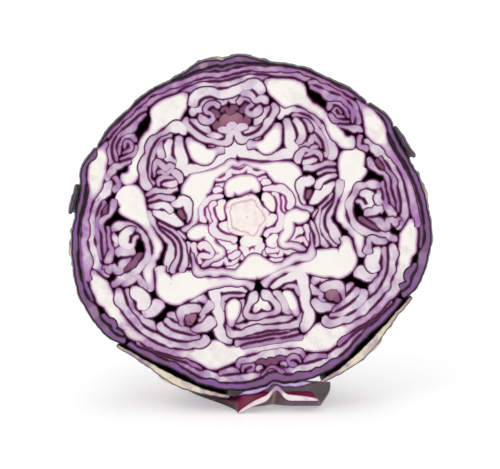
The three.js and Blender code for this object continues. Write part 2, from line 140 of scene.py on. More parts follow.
# These leaves stand in pairs, left and right of the middle line.
pairedLeaves = {
    "bud_leaf": ("bud", "heart", [(8, 8.6, 0.6), (10.2, 6.6, 2), (11, 3.6, 2.2), (11.6, 0.4, 0.8)]),
    "low_bud_leaf": ("bud", "heart", [
        (11.4, -9.2, 0.6), (9, -10.9, 1.9), (8, -12.4, 2.3), (10, -14.6, 0.6)]),
    "side_ring_leaf": ("ring", "rib", [
        (25.4, -3.6, 0.8), (22.6, -3.3, 2.6), (19.6, -3, 3.7), (17.2, -4.4, 2), (16.3, -8.2, 1.1),
        (14.7, -10.9, 1.7), (13.4, -13.2, 1.3), (16.6, -15.2, 0.8), (20.4, -16.9, 0.7)]),
    "lower_side_leaf": ("middle", "rib", [
        (39.4, -15, 0.9), (39.2, -18.8, 2), (37.4, -24.2, 5.2), (32.5, -24.4, 5.6), (27.5, -24, 4.2),
        (22.5, -24, 1.8), (17, -24.1, 1.1), (11, -24.8, 1.1), (6.8, -26.6, 1.2), (3.4, -29.4, 0.9)]),
    "stripe_leaf": ("middle", "blade", [
        (40.2, 9.6, 0.7), (39.7, 5.4, 0.9), (38.4, 1.6, 1.1), (35.9, -2, 1.2), (33.4, -5.2, 1.1),
        (32.7, -8.6, 1), (34.2, -12.4, 0.9), (36, -15.6, 0.6)]),
    "petal_leaf": ("middle", "blade", [
        (38.2, 8.6, 0.8), (35.4, 6.6, 1.9), (32.2, 4.8, 2.7), (29.4, 3, 2.1), (27.2, 1.4, 0.8)]),
    "pocket_leaf": ("middle", "blade", [
        (20, 38.8, 1.1), (21.8, 41.2, 2.2), (25.4, 41.8, 1.2), (29.8, 40.4, 0.9), (33.8, 37.4, 0.9),
        (36.8, 33.3, 0.9), (38.6, 28.6, 0.9), (39.4, 23.6, 0.9), (39, 19, 0.8)]),
    "upper_side_leaf": ("outer", "rib", [
        (18, 55, 0.7), (21, 52.6, 3.2), (25, 49.6, 5), (28.8, 47.2, 4.6), (33.4, 42.7, 1.8),
        (37.4, 38.2, 1.6), (40.6, 33.3, 1.8), (43.4, 28.2, 1.8), (46.6, 24.6, 1.5), (50, 23.6, 0.8)]),
    "side_rib_leaf": ("outer", "rib", [
        (51, 19.2, 1.5), (47.4, 15.2, 5.4), (46, 10.8, 4.6), (43.5, 6.4, 2.2), (41.9, 2.4, 1.2),
        (40.1, -1.8, 1.3), (38.6, -5.8, 1.9), (39.3, -9.4, 1.7), (42.2, -12.8, 0.9), (44.8, -15.6, 1.5),
        (45.2, -19.6, 1.6), (44.2, -24.4, 0.8)]),
    "curl_leaf": ("outer", "blade", [
        (57.4, 3, 0.7), (54.8, 5, 0.9), (51.4, 5.6, 1), (47.6, 4.4, 1), (44.9, 1.4, 1), (43.5, -2.6, 0.9),
        (43.3, -7, 0.9), (44.9, -10.6, 0.9), (48, -13.2, 1), (51.4, -15.3, 1.2), (55.4, -17, 1.1),
        (59, -18.8, 0.9)]),
    "hook_leaf": ("outer", "blade", [
        (55.2, 16.8, 0.7), (55.4, 13, 0.9), (56.8, 9.8, 1.1), (60, 8.4, 0.9), (61, 5.8, 0.8), (60, 2, 0.8),
        (61, -2, 0.8), (62, -6, 0.7)]),
    "lower_bulb_leaf": ("outer", "blade", [
        (58.4, -22, 1.2), (57.2, -27.4, 1.4), (55.2, -33, 1.3), (51.8, -38.4, 1.2), (47.2, -43, 1.2),
        (41.4, -46.6, 1.2), (35, -48.8, 1), (28, -49, 0.9), (24.4, -46.6, 0.7)]),
    "hammer_leaf": ("middle", "blade", [
        (7.4, -29.6, 1.6), (12, -28.4, 1.7), (17, -28.4, 1.7), (18.2, -33.4, 1.4), (18, -39, 1.4),
        (18.6, -44, 1.2), (17.2, -48.4, 1.1), (15, -51.6, 0.7)]),
    "hammer_cell": ("middle", "rib", [(11, -33.6, 1.3), (12, -37.2, 3.2), (13.3, -41.2, 1.6)]),
    "inner_wrapper": ("wrapper", "blade", [
        (53.4, 24.2, 0.8), (57.6, 20.2, 1.1), (61.4, 15, 1.2), (64.2, 9, 1.2), (65.8, 3, 1.2),
        (66.2, -4, 1.2), (65.4, -10, 1.1), (62.4, -14.6, 0.8)]),
    "rib_wrapper": ("wrapper", "rib", [
        (53.4, 41, 0.7), (56, 37, 1.6), (58.6, 32, 4), (60, 27, 3.4), (62.4, 21.4, 1.5), (66, 14.4, 1.4),
        (68.2, 7, 1.4), (69.2, 0, 1.4), (69.6, -7, 1.1), (70.4, -13, 0.6)]),
    "side_wrapper": ("wrapper", "skin", [
        (58, 38.4, 0.6), (62, 34.4, 0.9), (65.2, 29.6, 0.9), (66, 23.6, 0.9), (68.4, 17, 0.9),
        (70.8, 10.4, 0.9), (72.9, 4, 1), (74.1, -3, 1), (74.5, -12, 1), (74.2, -20, 1), (71.9, -27, 1.1),
        (68.7, -34, 1.2), (64.6, -40, 1.2), (60, -43.8, 0.8)]),
    "side_flap": ("ring", "husk", [
        (68.3, 24.6, 0.5), (69.8, 21, 0.7), (71.4, 17.2, 0.7), (73.2, 13.2, 0.6)]),
    "lower_flap": ("outer", "flap", [
        (62.6, -44.6, 0.6), (56, -50, 0.7), (51, -54.4, 0.9), (46, -58.8, 1.3), (41, -63, 1.6),
        (35.4, -66.6, 1.5), (29.6, -69.6, 1), (24, -71.9, 0.8), (19.4, -73.4, 0.6)]),
}

# Young folded leaves and crumpled margins that fill the pockets between the big leaves.
crossingFolds = {
    "core_lower_bud": ("bud", "heart", [(4.6, -9.4, 0.6), (2.6, -10, 1), (0, -10, 1.2)]),
    "core_lower_scale": ("bud", "heart", [
        (5.4, -12.4, 0.5), (3, -13.6, 0.9), (1.3, -15, 0.7), (0, -14, 0.9)]),
    "crown_tip_scale": ("ring", "heart", [(3, 21.4, 0.4), (1.4, 21.2, 0.5), (0, 20.9, 0.6)]),
    "heart_lower_scale": ("middle", "heart", [
        (6.2, 38.6, 0.6), (3.8, 37.6, 0.8), (1.8, 37.6, 0.8), (0, 38.6, 0.8)]),
    "heart_rim": ("middle", "young", [(3.2, 45.6, 0.8), (1.6, 46.6, 0.9), (0, 44.9, 0.8)]),
    "heart_upper_lobe": ("middle", "blade", [(3.8, 50.4, 0.8), (2, 48.8, 1), (0, 50, 1)]),
    "upper_outer_sheet": ("outer", "blade", [
        (34, 53.8, 0.5), (29, 56, 0.7), (23, 57, 0.8), (17, 58.6, 0.8), (9, 59.6, 0.8), (0, 58.8, 0.9)]),
    "top_sheet": ("outer", "skin", [
        (47, 47, 0.4), (40, 53.6, 0.6), (33.6, 57.7, 0.6), (26, 60, 0.7), (17, 61.9, 0.7), (8, 63.6, 0.7),
        (3, 63.9, 0.8), (0, 63.1, 0.8)]),
    "lower_bud_round": ("middle", "heart", [(1.6, -38.2, 1.2), (0, -36.6, 2.8)]),
    "lower_inner_sheet": ("outer", "blade", [(11.8, -53.2, 0.5), (6, -53.2, 0.8), (0, -53, 0.9)]),
    "lower_mid_sheet": ("middle", "blade", [(10.4, -49.8, 0.5), (5, -49.9, 0.8), (0, -49.6, 0.9)]),
    "lower_red_fold": ("middle", "young", [
        (6.4, -61.2, 0.7), (3, -61, 0.8), (1.6, -62, 0.7), (0, -61.2, 0.9)]),
    "lower_lilac_fold": ("outer", "blade", [(5.4, -67.2, 0.6), (3, -65.8, 0.7), (0, -64.2, 0.8)]),
    "bottom_fold": ("bud", "crinkle", [
        (17.4, -73.4, 0.4), (15, -73.1, 0.9), (12.6, -72.8, 1.2), (9.4, -73.1, 1.1), (6.4, -72.6, 1),
        (3, -71.9, 0.6), (0, -70.8, 0.5)]),
}
pairedFolds = {
    "bud_scale": ("bud", "heart", [
        (12.4, 9.1, 0.4), (14.2, 6.6, 0.6), (14.1, 3.4, 0.6), (13.4, 0.4, 0.6), (14.2, -2, 0.6),
        (13.4, -4.8, 0.5), (11.4, -6.8, 0.7), (8, -7.2, 0.6), (5.4, -8.5, 0.5)]),
    "bud_side": ("bud", "heart", [
        (12.4, -1.2, 0.7), (10.6, -2.6, 1.2), (8.8, -3.8, 1.5), (6.9, -5.4, 0.7)]),
    "bud_outer_scale": ("bud", "heart", [
        (16.4, 6.6, 0.5), (15.9, 3.6, 0.6), (15.2, 1, 0.5), (16, -0.8, 0.4)]),
    "ring_sheet": ("ring", "heart", [
        (8.2, 10.4, 0.5), (11, 10.3, 0.7), (14, 9.8, 0.7), (16.8, 8.4, 0.8), (18.6, 6.2, 0.9),
        (19, 3.6, 0.9), (17.8, 1.7, 0.7)]),
    "crown_side_fold": ("ring", "heart", [(12.4, 12.6, 0.5), (10.4, 13.3, 1), (8.1, 13.2, 0.7)]),
    "crown_under_fold": ("ring", "heart", [(11, 15.6, 0.5), (8.5, 15.5, 0.6), (6.4, 15.9, 0.5)]),
    "inner_low_curl": ("ring", "heart", [
        (18.8, -16.7, 0.5), (15.5, -17, 0.6), (12.6, -16.2, 0.7), (11.6, -17.8, 0.6), (9.4, -18.6, 0.7),
        (7.4, -17, 0.8), (5.3, -16.3, 0.7), (4.6, -17.6, 0.5)]),
    "inner_low_scale": ("ring", "heart", [(12.6, -19.6, 0.5), (9.6, -20.3, 0.7), (6.6, -19.4, 0.6)]),
    "inner_low_tip": ("ring", "heart", [(10.6, -15.6, 0.5), (7.9, -15, 0.8), (5.8, -14, 0.6)]),
    "fan_one": ("ring", "heart", [(23.9, -8.2, 0.4), (24.2, -11.4, 0.5), (23.9, -15, 0.4)]),
    "fan_two": ("middle", "blade", [(26.5, -7.4, 0.5), (27, -10.8, 0.5), (26.8, -14, 0.5), (26, -17, 0.4)]),
    "fan_three": ("middle", "blade", [(30.4, -1.2, 0.5), (28.2, -3.6, 0.7), (27.2, -5.4, 0.5)]),
    "fan_loop": ("ring", "heart", [
        (22.6, -9, 0.7), (19.8, -9, 0.8), (18, -11, 0.7), (17.6, -13, 0.6), (20.4, -13, 0.8),
        (22.4, -13.4, 0.6), (22.8, -16.4, 0.7)]),
    "stripe_two": ("middle", "blade", [
        (37.6, 1.4, 0.5), (34.4, -0.8, 0.9), (31.9, -4, 1), (30.4, -8, 1.1), (31.1, -12, 1),
        (33.2, -15.4, 0.6)]),
    "stripe_three": ("middle", "blade", [
        (37.6, 3.7, 0.6), (34.2, 1.2, 0.7), (30.9, -1.4, 0.7), (28.9, -5, 0.9), (28.3, -9, 1),
        (28.9, -13, 1), (30.6, -16.4, 0.5)]),
    "petal_upper": ("middle", "blade", [
        (38.9, 11.4, 0.6), (36.4, 11.2, 1.3), (33, 10, 1.6), (30.3, 8.2, 0.8)]),
    "petal_side": ("middle", "blade", [
        (30, 10.6, 0.6), (27.8, 9.8, 1.5), (25.3, 9.6, 1.7), (24.1, 6.6, 1), (23.9, 3.4, 0.9),
        (25.2, 1.2, 0.6)]),
    "petal_diamond": ("middle", "young", [(28.4, 7, 0.5), (27, 5.5, 1.3), (25.9, 4.1, 0.5)]),
    "petal_roof": ("middle", "blade", [(38.8, 13.4, 0.5), (35.4, 14, 0.7), (31.6, 13, 0.6)]),
    "pocket_floor": ("middle", "blade", [
        (38.8, 16.4, 0.5), (36, 17, 0.8), (33, 16, 0.7), (29.5, 16, 0.9), (27, 17.4, 0.7)]),
    "pocket_inner": ("middle", "blade", [
        (27.4, 39.2, 0.6), (30.8, 37.9, 0.9), (33.8, 34.6, 0.9), (35.9, 30, 0.9), (37.3, 25.6, 0.8),
        (37.5, 21.6, 0.7), (35.6, 20.4, 0.5)]),
    "pocket_petal": ("middle", "blade", [(29.8, 37.2, 0.6), (31.5, 34.6, 1.2), (32.1, 31.2, 0.7)]),
    "pocket_petal_inner": ("middle", "blade", [
        (26.6, 38.2, 0.7), (28.5, 34.6, 1.5), (29, 30.8, 1.1), (27.4, 28.2, 0.6)]),
    "pocket_crumple": ("middle", "blade", [
        (36, 24, 0.5), (34.8, 27, 0.7), (33.2, 29.2, 0.6), (31.7, 27.2, 0.7), (30.3, 25.3, 0.6),
        (28.6, 26.4, 0.6), (27.2, 24.8, 0.5)]),
    "pocket_wave": ("middle", "blade", [
        (34, 24.4, 0.5), (32.3, 24.4, 0.6), (30.6, 23.2, 0.6), (28.4, 23.7, 0.7), (26.4, 21.6, 0.6)]),
    "pocket_curl": ("middle", "blade", [
        (34.4, 18.4, 0.5), (34.2, 20.8, 0.7), (32.4, 22.1, 0.6), (30, 21.4, 0.7), (28, 21, 0.7)]),
    "pocket_bead": ("middle", "heart", [(31.8, 19.2, 0.6), (29.8, 19, 1.2), (27.2, 19.2, 0.9)]),
    "shoulder_cell": ("middle", "rib", [
        (19.8, 36.8, 0.6), (18, 34, 1.3), (15.6, 30.6, 3), (12.6, 28.8, 4), (9, 29.6, 2.6),
        (5.6, 30.6, 1.1)]),
    "shoulder_spur": ("middle", "heart", [(11.4, 32.2, 0.5), (8.6, 31.6, 0.9), (7.2, 30.2, 0.4)]),
    "collar_inner": ("middle", "blade", [
        (17.2, 44.6, 0.6), (14.6, 41.6, 0.8), (12, 38.9, 0.9), (9, 37.4, 0.7)]),
    "collar_cell": ("middle", "blade", [(10.4, 36.4, 0.6), (7.4, 35.4, 1.4), (4, 34.9, 1.2)]),
    "swirl": ("middle", "blade", [
        (13, 46, 0.5), (12, 43.9, 0.6), (10, 42.4, 0.7), (7.6, 43.2, 0.7), (7.6, 45, 0.6), (9.4, 46.8, 0.7),
        (8.2, 48.8, 0.7), (6, 49, 0.7), (4.6, 47.4, 0.9)]),
    "swirl_outer": ("middle", "blade", [
        (16, 46, 0.7), (14.2, 47.6, 1.4), (11.6, 48, 1.1), (10.4, 50, 1.2), (8, 51.4, 0.7), (5.6, 51, 0.6)]),
    "heart_side": ("middle", "young", [(7.2, 46.8, 0.4), (5.4, 45.2, 0.8), (4.4, 43.6, 0.7)]),
    "knot_outer": ("outer", "blade", [
        (50.4, 33.6, 0.5), (50.6, 37.6, 0.6), (49, 41, 0.7), (46.2, 43.4, 0.7), (43.4, 44.6, 0.6),
        (39, 47.2, 0.7), (35, 50.4, 0.5)]),
    "knot_middle": ("outer", "blade", [
        (48.6, 35.4, 0.6), (47.8, 38.6, 0.6), (46, 41, 0.7), (43.4, 41.8, 0.7), (41.8, 40.2, 0.5)]),
    "knot_inner": ("outer", "blade", [
        (46.2, 37, 0.6), (44.8, 39.2, 0.6), (43, 38.2, 0.6), (43.6, 36.2, 0.6), (45.6, 35.4, 0.5)]),
    "knot_low": ("outer", "blade", [
        (49.2, 32.4, 0.5), (46, 33, 0.7), (42.6, 34.4, 0.6), (40.8, 37.4, 0.6)]),
    "knot_sheet": ("outer", "blade", [
        (52.6, 30.6, 0.6), (52.8, 35, 0.7), (51.6, 40, 0.7), (48.4, 43.6, 0.6), (44.6, 46.6, 0.7),
        (39, 50.2, 0.7), (34.6, 52.4, 0.5)]),
    "shoulder_band": ("outer", "blade", [
        (54, 27.4, 0.8), (51.4, 29.6, 0.9), (48.4, 30, 0.8), (45, 31.6, 0.6)]),
    "shoulder_loop": ("outer", "blade", [
        (53.4, 26, 0.6), (52, 24.4, 0.8), (51.6, 22, 0.7), (54.6, 20.6, 0.6)]),
    "curl_inner": ("outer", "blade", [
        (46.4, 3.2, 0.7), (49.6, 2.6, 1.2), (51.8, 0.4, 1.5), (51.7, -3, 1.5), (49.4, -3.6, 1.3),
        (47.8, -1.2, 1), (45.8, -0.6, 0.6)]),
    "curl_lobe": ("outer", "blade", [
        (56.4, 3, 0.7), (56.8, 0.6, 1.3), (56.2, -1.8, 1.1), (57.6, -3.6, 0.7)]),
    "hook_inner": ("outer", "blade", [
        (58.8, 5.2, 0.7), (58.9, 1.8, 0.8), (59.2, -1.4, 0.6), (58.6, -4.6, 0.9), (60.4, -7.4, 0.8)]),
    "hook_outer": ("outer", "blade", [
        (58.6, 16.2, 0.5), (61.2, 11.8, 0.6), (63, 7, 0.6), (63.4, 2, 0.7), (63.6, -3, 0.7),
        (63, -8.6, 0.6)]),
    "hook_cell": ("outer", "young", [(57.8, 15.4, 0.6), (58.4, 12.4, 1.2), (59.4, 10.4, 0.6)]),
    "side_crumple": ("outer", "blade", [
        (64, -12, 0.6), (62.2, -11.4, 0.8), (61, -13.4, 0.8), (59, -11.8, 0.8), (57.2, -13.8, 0.8),
        (55.2, -12.8, 0.7), (52.8, -10.6, 0.7), (50.4, -9, 0.5)]),
    "side_crumple_upper": ("outer", "blade", [
        (57.4, -6, 0.6), (55.2, -5.6, 0.9), (52.6, -6.8, 0.9), (50, -7.4, 0.7)]),
    "olive_blade": ("outer", "young", [
        (54.6, -14.9, 0.6), (51.6, -12.6, 1.1), (48.6, -9.8, 1), (46, -7.4, 0.6)]),
    "bulb": ("outer", "blade", [(52.4, -21.6, 0.8), (50.8, -24.6, 2), (49.8, -28, 2.4), (51.6, -31, 0.9)]),
    "bulb_roof": ("outer", "blade", [
        (56.8, -19.8, 0.7), (53.2, -19.2, 1), (49.4, -17.6, 1.1), (47.6, -20.4, 0.8), (46.6, -23.4, 0.7)]),
    "bulb_sheet": ("outer", "blade", [
        (54.6, -23.4, 0.7), (54.4, -28.6, 0.9), (52.4, -33.4, 1), (48.8, -38, 0.9), (45.6, -40.4, 0.6)]),
    "bulb_under": ("outer", "blade", [(49.4, -33.4, 0.7), (46.2, -32.2, 0.9), (43.2, -30.4, 0.7)]),
    "low_petal_outer": ("outer", "blade", [
        (44.8, -38.6, 0.7), (42.4, -41.4, 1.2), (38.8, -44.2, 1.4), (34.4, -46, 1.3), (30.8, -46.6, 0.7)]),
    "low_petal_inner": ("middle", "blade", [
        (40.8, -36.4, 0.7), (38.8, -39.4, 1.2), (35.6, -41.6, 1.3), (32.2, -43.4, 1), (29.6, -45, 0.6)]),
    "low_petal_tip": ("middle", "blade", [(39.6, -34.4, 0.6), (37.2, -36.4, 1), (35.2, -38.6, 0.6)]),
    "low_bead_ring": ("middle", "blade", [
        (34, -41, 0.6), (34.3, -37, 0.7), (32.2, -34.4, 0.8), (28.8, -34, 0.7), (25.8, -34.8, 0.6)]),
    "low_bead": ("middle", "young", [(31.7, -39.4, 0.8), (30.6, -37.6, 2), (28.8, -38.6, 1.7)]),
    "low_bead_side": ("middle", "blade", [
        (27.2, -40.6, 0.6), (25.3, -39.2, 1), (25.2, -37, 0.7), (22.8, -34.8, 0.7)]),
    "low_white": ("middle", "rib", [
        (28.6, -32, 0.6), (26.1, -30.4, 1.3), (23.8, -31.6, 0.8), (22.8, -33.2, 0.4)]),
    "low_join": ("middle", "blade", [
        (31.4, -43, 0.5), (28, -43.2, 0.8), (25, -42.4, 0.8), (22.2, -40.8, 0.7)]),
    "hammer_shadow": ("middle", "blade", [
        (9.4, -31.6, 0.8), (12.8, -31, 0.8), (15.8, -32.6, 0.7), (16, -36, 0.6)]),
    "hammer_side": ("middle", "blade", [
        (7.4, -35, 0.7), (8.6, -38.4, 0.9), (9.8, -41.6, 0.8), (12, -43, 0.5)]),
    "dark_sheet": ("wrapper", "skin", [
        (63.8, 24.4, 0.5), (65.6, 18.6, 0.6), (68.4, 11.8, 0.7), (70.4, 5, 0.8), (71.6, -2, 0.8),
        (72.1, -10, 0.8), (71.8, -18, 0.8), (69.8, -25, 0.8)]),
    "dark_crumple": ("outer", "skin", [
        (67.4, -30.6, 0.6), (66, -33.4, 0.7), (63.6, -35.4, 0.7), (62.6, -38.4, 0.7), (59.4, -41, 0.7)]),
    "low_dark_sheet": ("outer", "blade", [
        (52, -46.8, 0.5), (45.4, -51, 0.7), (38.6, -54.2, 0.7), (33.4, -56.8, 0.6), (29.6, -60.2, 0.5)]),
    "low_violet_curl": ("outer", "blade", [
        (12.4, -64.4, 0.5), (11.8, -62, 1.1), (9.2, -61.4, 0.7), (7.6, -62.8, 0.7), (9.6, -64, 0.6)]),
    "low_leaflet": ("outer", "blade", [(20.6, -63.2, 0.5), (17.4, -63.3, 0.9), (14.2, -63.8, 0.6)]),
    "low_pebble": ("outer", "blade", [(6, -65, 0.5), (5.4, -63.4, 1.1), (4.2, -62.4, 0.6)]),
}


def lengthAlong(line):
    # The way from the first point to each point of a line, in mm.
    return np.concatenate([[0], np.cumsum(np.hypot(*np.diff(line[:, :2], axis=0).T))])


def bell(distance, width):
    return np.exp(-(distance / width) ** 2)


def distances(a, b):
    # From each point of a to each point of b on the cut.
    return np.hypot(a[:, None, 0] - b[None, :, 0], a[:, None, 1] - b[None, :, 1])


def smoothLine(points, step):
    # Catmull-Rom curve through the points, every step mm: each stretch is a cubic in u from 0 to 1.
    p = np.array(points, float)
    p = np.vstack([2 * p[0] - p[1], p, 2 * p[-1] - p[-2]])
    stretches = []
    for a, b, c, d in zip(p[:-3], p[1:-2], p[2:-1], p[3:]):
        count = max(3, int(np.ceil(np.hypot(*(c - b)[:2]) / step * 2)))
        u = np.linspace(0, 1, count, endpoint=False)[:, None]
        stretches.append(0.5 * (2 * b + (c - a) * u + (2 * a - 5 * b + 4 * c - d) * u ** 2
                                + (3 * b - a - 3 * c + d) * u ** 3))
    dense = np.vstack(stretches + [p[-2][None]])
    length = lengthAlong(dense)
    even = np.linspace(0, length[-1], max(8, int(length[-1] / step) + 1))
    return np.column_stack([np.interp(even, length, dense[:, k]) for k in range(3)])


def sideways(line):
    # Unit normal of a line in its plane: its direction turned a quarter turn.
    ahead = np.gradient(line[:, :2], axis=0)
    ahead /= np.hypot(*ahead.T)[:, None]
    return np.column_stack([-ahead[:, 1], ahead[:, 0]])


def outwardSide(line):
    # 1 where the left side of a line looks away from the core, -1 where the right side does.
    return np.sign((sideways(line) * line[:, :2]).sum()) or 1.0


def crumpled(line, amount):
    # Small waves across the line: two sines of unrelated length, dying out on thick ribs and at the ends.
    length = lengthAlong(line)
    phase = rng.uniform(0, 2 * np.pi, 2)
    wave = np.sin(2 * np.pi * length / packing["wave"] + phase[0])
    wave += 0.6 * np.sin(2 * np.pi * length / (packing["wave"] * 0.43) + phase[1])
    thin = bell(line[:, 2], 1.5) * np.abs(np.sin(np.pi * length / length[-1])) ** 0.5
    moved = line.copy()
    moved[:, :2] += sideways(line) * (wave * thin * amount)[:, None]
    return moved


def wholeLeaves():
    # Every leaf's line at full length, with its ring and kind, left and right ones apart.
    leaves = []
    tables = ((crossingLeaves, True), (crossingFolds, True), (pairedLeaves, False), (pairedFolds, False))
    for table, crossing in tables:
        for name, (ring, kind, right) in table.items():
            left = [(-x, z, w) for x, z, w in right]
            halves = {"": left + right[-2::-1]} if crossing else {"_left": left, "_right": right}
            for suffix, points in halves.items():
                line = crumpled(smoothLine(points, packing["step"]), packing["crumple"])
                leaves.append({"name": name + suffix, "ring": ring, "kind": kind, "line": line})
    return leaves


def runEndsOn(leaves):
    # The ends of a leaf run on straight, with the same thickness, up to the side of the leaf in their way.
    # An end with nothing ahead stays where it is.
    steps = np.arange(1, int(packing["runOn"] / packing["step"]) + 1) * packing["step"]
    tail = int(packing["ownTail"] / packing["step"])
    for leaf in leaves:
        others = np.vstack([other["line"] for other in leaves if other is not leaf] + [coreEdge, hollows])
        for way in (1, -1):
            line = leaf["line"][::way]
            ahead = line[-1, :2] - line[-4, :2]
            spots = line[-1, :2] + (ahead / np.hypot(*ahead))[None] * steps[:, None]
            blocks = np.concatenate([others, line[:-tail]])
            free = (distances(spots, blocks) - blocks[None, :, 2]).min(axis=1) > packing["stopsAt"]
            if not free.all() and free[0]:
                spots = spots[:np.argmin(free)]
                line = np.vstack([line, np.column_stack([spots, np.full(len(spots), line[-1, 2])])])
            leaf["line"] = line[::way]


def evened(values, times):
    # A running mean of three, with the middle one counted twice.
    values = values.copy()
    for _ in range(times):
        values[1:-1] = (values[:-2] + 2 * values[1:-1] + values[2:]) / 4
    return values


def bendOf(line):
    # Curvature: change of direction for each mm, positive where the line turns to its left side.
    ahead = np.gradient(line[:, :2], axis=0)
    direction = np.unwrap(np.arctan2(ahead[:, 1], ahead[:, 0]))
    return np.gradient(direction) / packing["step"]


def pressTogether(leaves):
    # Half thickness at each point: the wanted one, or its share of the space to the nearest neighbour.
    # Two points that are d apart with wants a and b give a's side (d - gap) * a / (a + b).
    everyPoint = np.vstack([leaf["line"] for leaf in leaves])
    owner = np.concatenate([np.full(len(leaf["line"]), i) for i, leaf in enumerate(leaves)])
    for i, leaf in enumerate(leaves):
        line = leaf["line"]
        want, theirs = line[:, 2] * packing["swell"], everyPoint[None, :, 2] * packing["swell"]
        apart = distances(line, everyPoint)
        share = (apart - packing["gap"]) * want[:, None] / (want[:, None] + theirs)
        place = np.arange(len(line)) * packing["step"]
        counts = np.full(share.shape, True)
        way = np.abs(place[:, None] - place[None, :])
        counts[:, owner == i] = way > packing["foldRatio"] * apart[:, owner == i]
        half = np.minimum(want, np.where(counts, share, np.inf).min(axis=1))
        half = evened(np.maximum(half, packing["thinStart"]), 2)
        leaf["left"], leaf["right"], leaf["start"] = half.copy(), half.copy(), half
        leaf["bend"] = evened(bendOf(line), 9)


# Hollows that stay open between the leaves, for the right half: distance, height and radius in mm.
hollows = np.array([
    (36.8, 44.6, 2.1), (34.6, 47, 1.4), (39, 42, 1.5), (54.6, 9, 1.6), (51.4, 7.6, 1), (57.4, 7.2, 1.1),
    (47.4, 28, 1.1), (59.8, -16.2, 0.9), (38.4, -32.6, 1.1), (36.6, -33, 0.8), (66.8, -28.4, 1),
    (22.9, -45.8, 0.9), (15.4, -60.4, 0.7), (46.4, -4.4, 1.7), (45.6, -6.6, 0.9), (18.2, 46.9, 0.7),
    (10.8, 38.2, 0.5), (28, 14.6, 0.8), (16.4, -72.9, 1.1), (57.6, -8.6, 0.6), (41.6, -27.4, 0.7),
    (55.6, 17, 0.8), (37.8, -9.6, 1), (36, -6.4, 0.8), (39.8, -12.6, 0.8), (7.4, -43.6, 0.5)])
hollows = np.vstack([hollows, hollows * (-1, 1, 1)])

core = {
    "faceRadius": 9.4,
    "faceRows": 14,
    "bulge": 0.35,  # how far its middle stands out of the cut
    "corners": 5,
    "wobble": 0.09,
    "wobbleFades": 20,
    "stalkDepths": (0, 14, 32, 46, 57, 66),
    "stalkRadii": (6.6, 6.9, 7.8, 11, 13, 13.6),
    "comesOut": 60,  # depth from which the stub no longer shrinks with the head
    "stubDepth": 74.6,
    "ringAt": 0.74,  # place of the pink ring, as a part of the radius
}

# The edge of the core on the cut: radius = faceRadius * (1 + wobble * two cosines of the angle).
coreAngle = np.linspace(0, 2 * np.pi, 96, endpoint=False)
coreWaves = np.cos(core["corners"] * coreAngle + 0.6) + 0.5 * np.cos(2 * coreAngle + 2.2)
coreShape = 1 + core["wobble"] * coreWaves
coreEdge = np.stack([np.cos(coreAngle), np.sin(coreAngle), 0 * coreAngle])
coreEdge = (core["faceRadius"] * coreShape * coreEdge).T


def allEdges(leaves):
    # The points that a side can meet: the edges, middle line and ends of each leaf, and the core's edge.
    # With each point go its leaf's number and its place along that leaf.
    edges, owner, place = [], [], []
    across = np.linspace(0, 1, packing["capPoints"] + 2)[1:-1, None]
    for i, leaf in enumerate(leaves):
        line, normal = leaf["line"][:, :2], sideways(leaf["line"])
        a = line + normal * leaf["left"][:, None]
        b = line - normal * leaf["right"][:, None]
        leaf["edges"] = {"left": a, "right": b}
        edges += [a, b, line] + [a[k] * across + b[k] * (1 - across) for k in (0, -1)]
        owner += [np.full(3 * len(line) + 2 * len(across), i)]
        along = np.arange(len(line)) * packing["step"]
        place += [np.tile(along, 3), np.zeros(len(across)), np.full(len(across), along[-1])]
    edges = np.vstack(edges + [coreEdge[:, :2]]).astype(np.float32)
    owner = np.concatenate(owner + [np.full(len(coreEdge), -1)])
    return edges, owner, np.concatenate(place + [np.zeros(len(coreEdge))])


def nearestMeeting(points, edges, own, place):
    # How far each point is from the first thing in its way. A hollow counts double, since it doesn't grow.
    # The leaf's own edges only count where it is folded back on itself.
    tooFar = 1e6
    apart = (points[:, None, 0] - edges[None, :, 0]) ** 2 + (points[:, None, 1] - edges[None, :, 1]) ** 2
    along = np.arange(len(points)) * packing["step"]
    way = np.abs(along[:, None] - place[own][None])
    folded = way > packing["foldRatio"] * np.sqrt(apart[:, own])
    apart[:, own] = np.where(folded, apart[:, own], tooFar)
    air = (distances(points, hollows) - hollows[None, :, 2]).min(axis=1)
    return np.minimum(np.sqrt(apart.min(axis=1)), 2 * air)


def fillGaps(leaves):
    # Each side of a leaf grows by half of the room in front of it, round after round, until it meets a
    # neighbour, a hollow or its own fold. Inside a bend it stays under the bend's radius. The outer side of
    # a skin leaf doesn't grow, and loose flaps stay as they are drawn.
    for _ in range(packing["rounds"]):
        edges, owner, place = allEdges(leaves)
        for i, leaf in enumerate(leaves):
            outward, loose = outwardSide(leaf["line"]), leaf["kind"] in ("flap", "husk", "crinkle")
            for side, turned in (("left", 1), ("right", -1)):
                points = leaf["edges"][side].astype(np.float32)
                nearest = nearestMeeting(points, edges, owner == i, place)
                room = (nearest - packing["gap"]) * packing["share"]
                room = np.clip(room, -packing["shrinks"], packing["growth"])
                if loose or (leaf["kind"] == "skin" and outward == turned):
                    room = np.minimum(room, 0)
                room = np.where(nearest > packing["sees"], 0, room)
                grown = np.minimum(leaf[side] + room, leaf["start"] + packing["most"])
                radius = packing["insideBend"] / np.maximum(leaf["bend"] * turned, 1e-3)
                grown = np.minimum(grown, np.maximum(radius, leaf["start"]))
                leaf[side + "Next"] = np.clip(grown, packing["thinnest"], None)
        for leaf in leaves:
            leaf["left"], leaf["right"] = evened(leaf["leftNext"], 2), evened(leaf["rightNext"], 2)


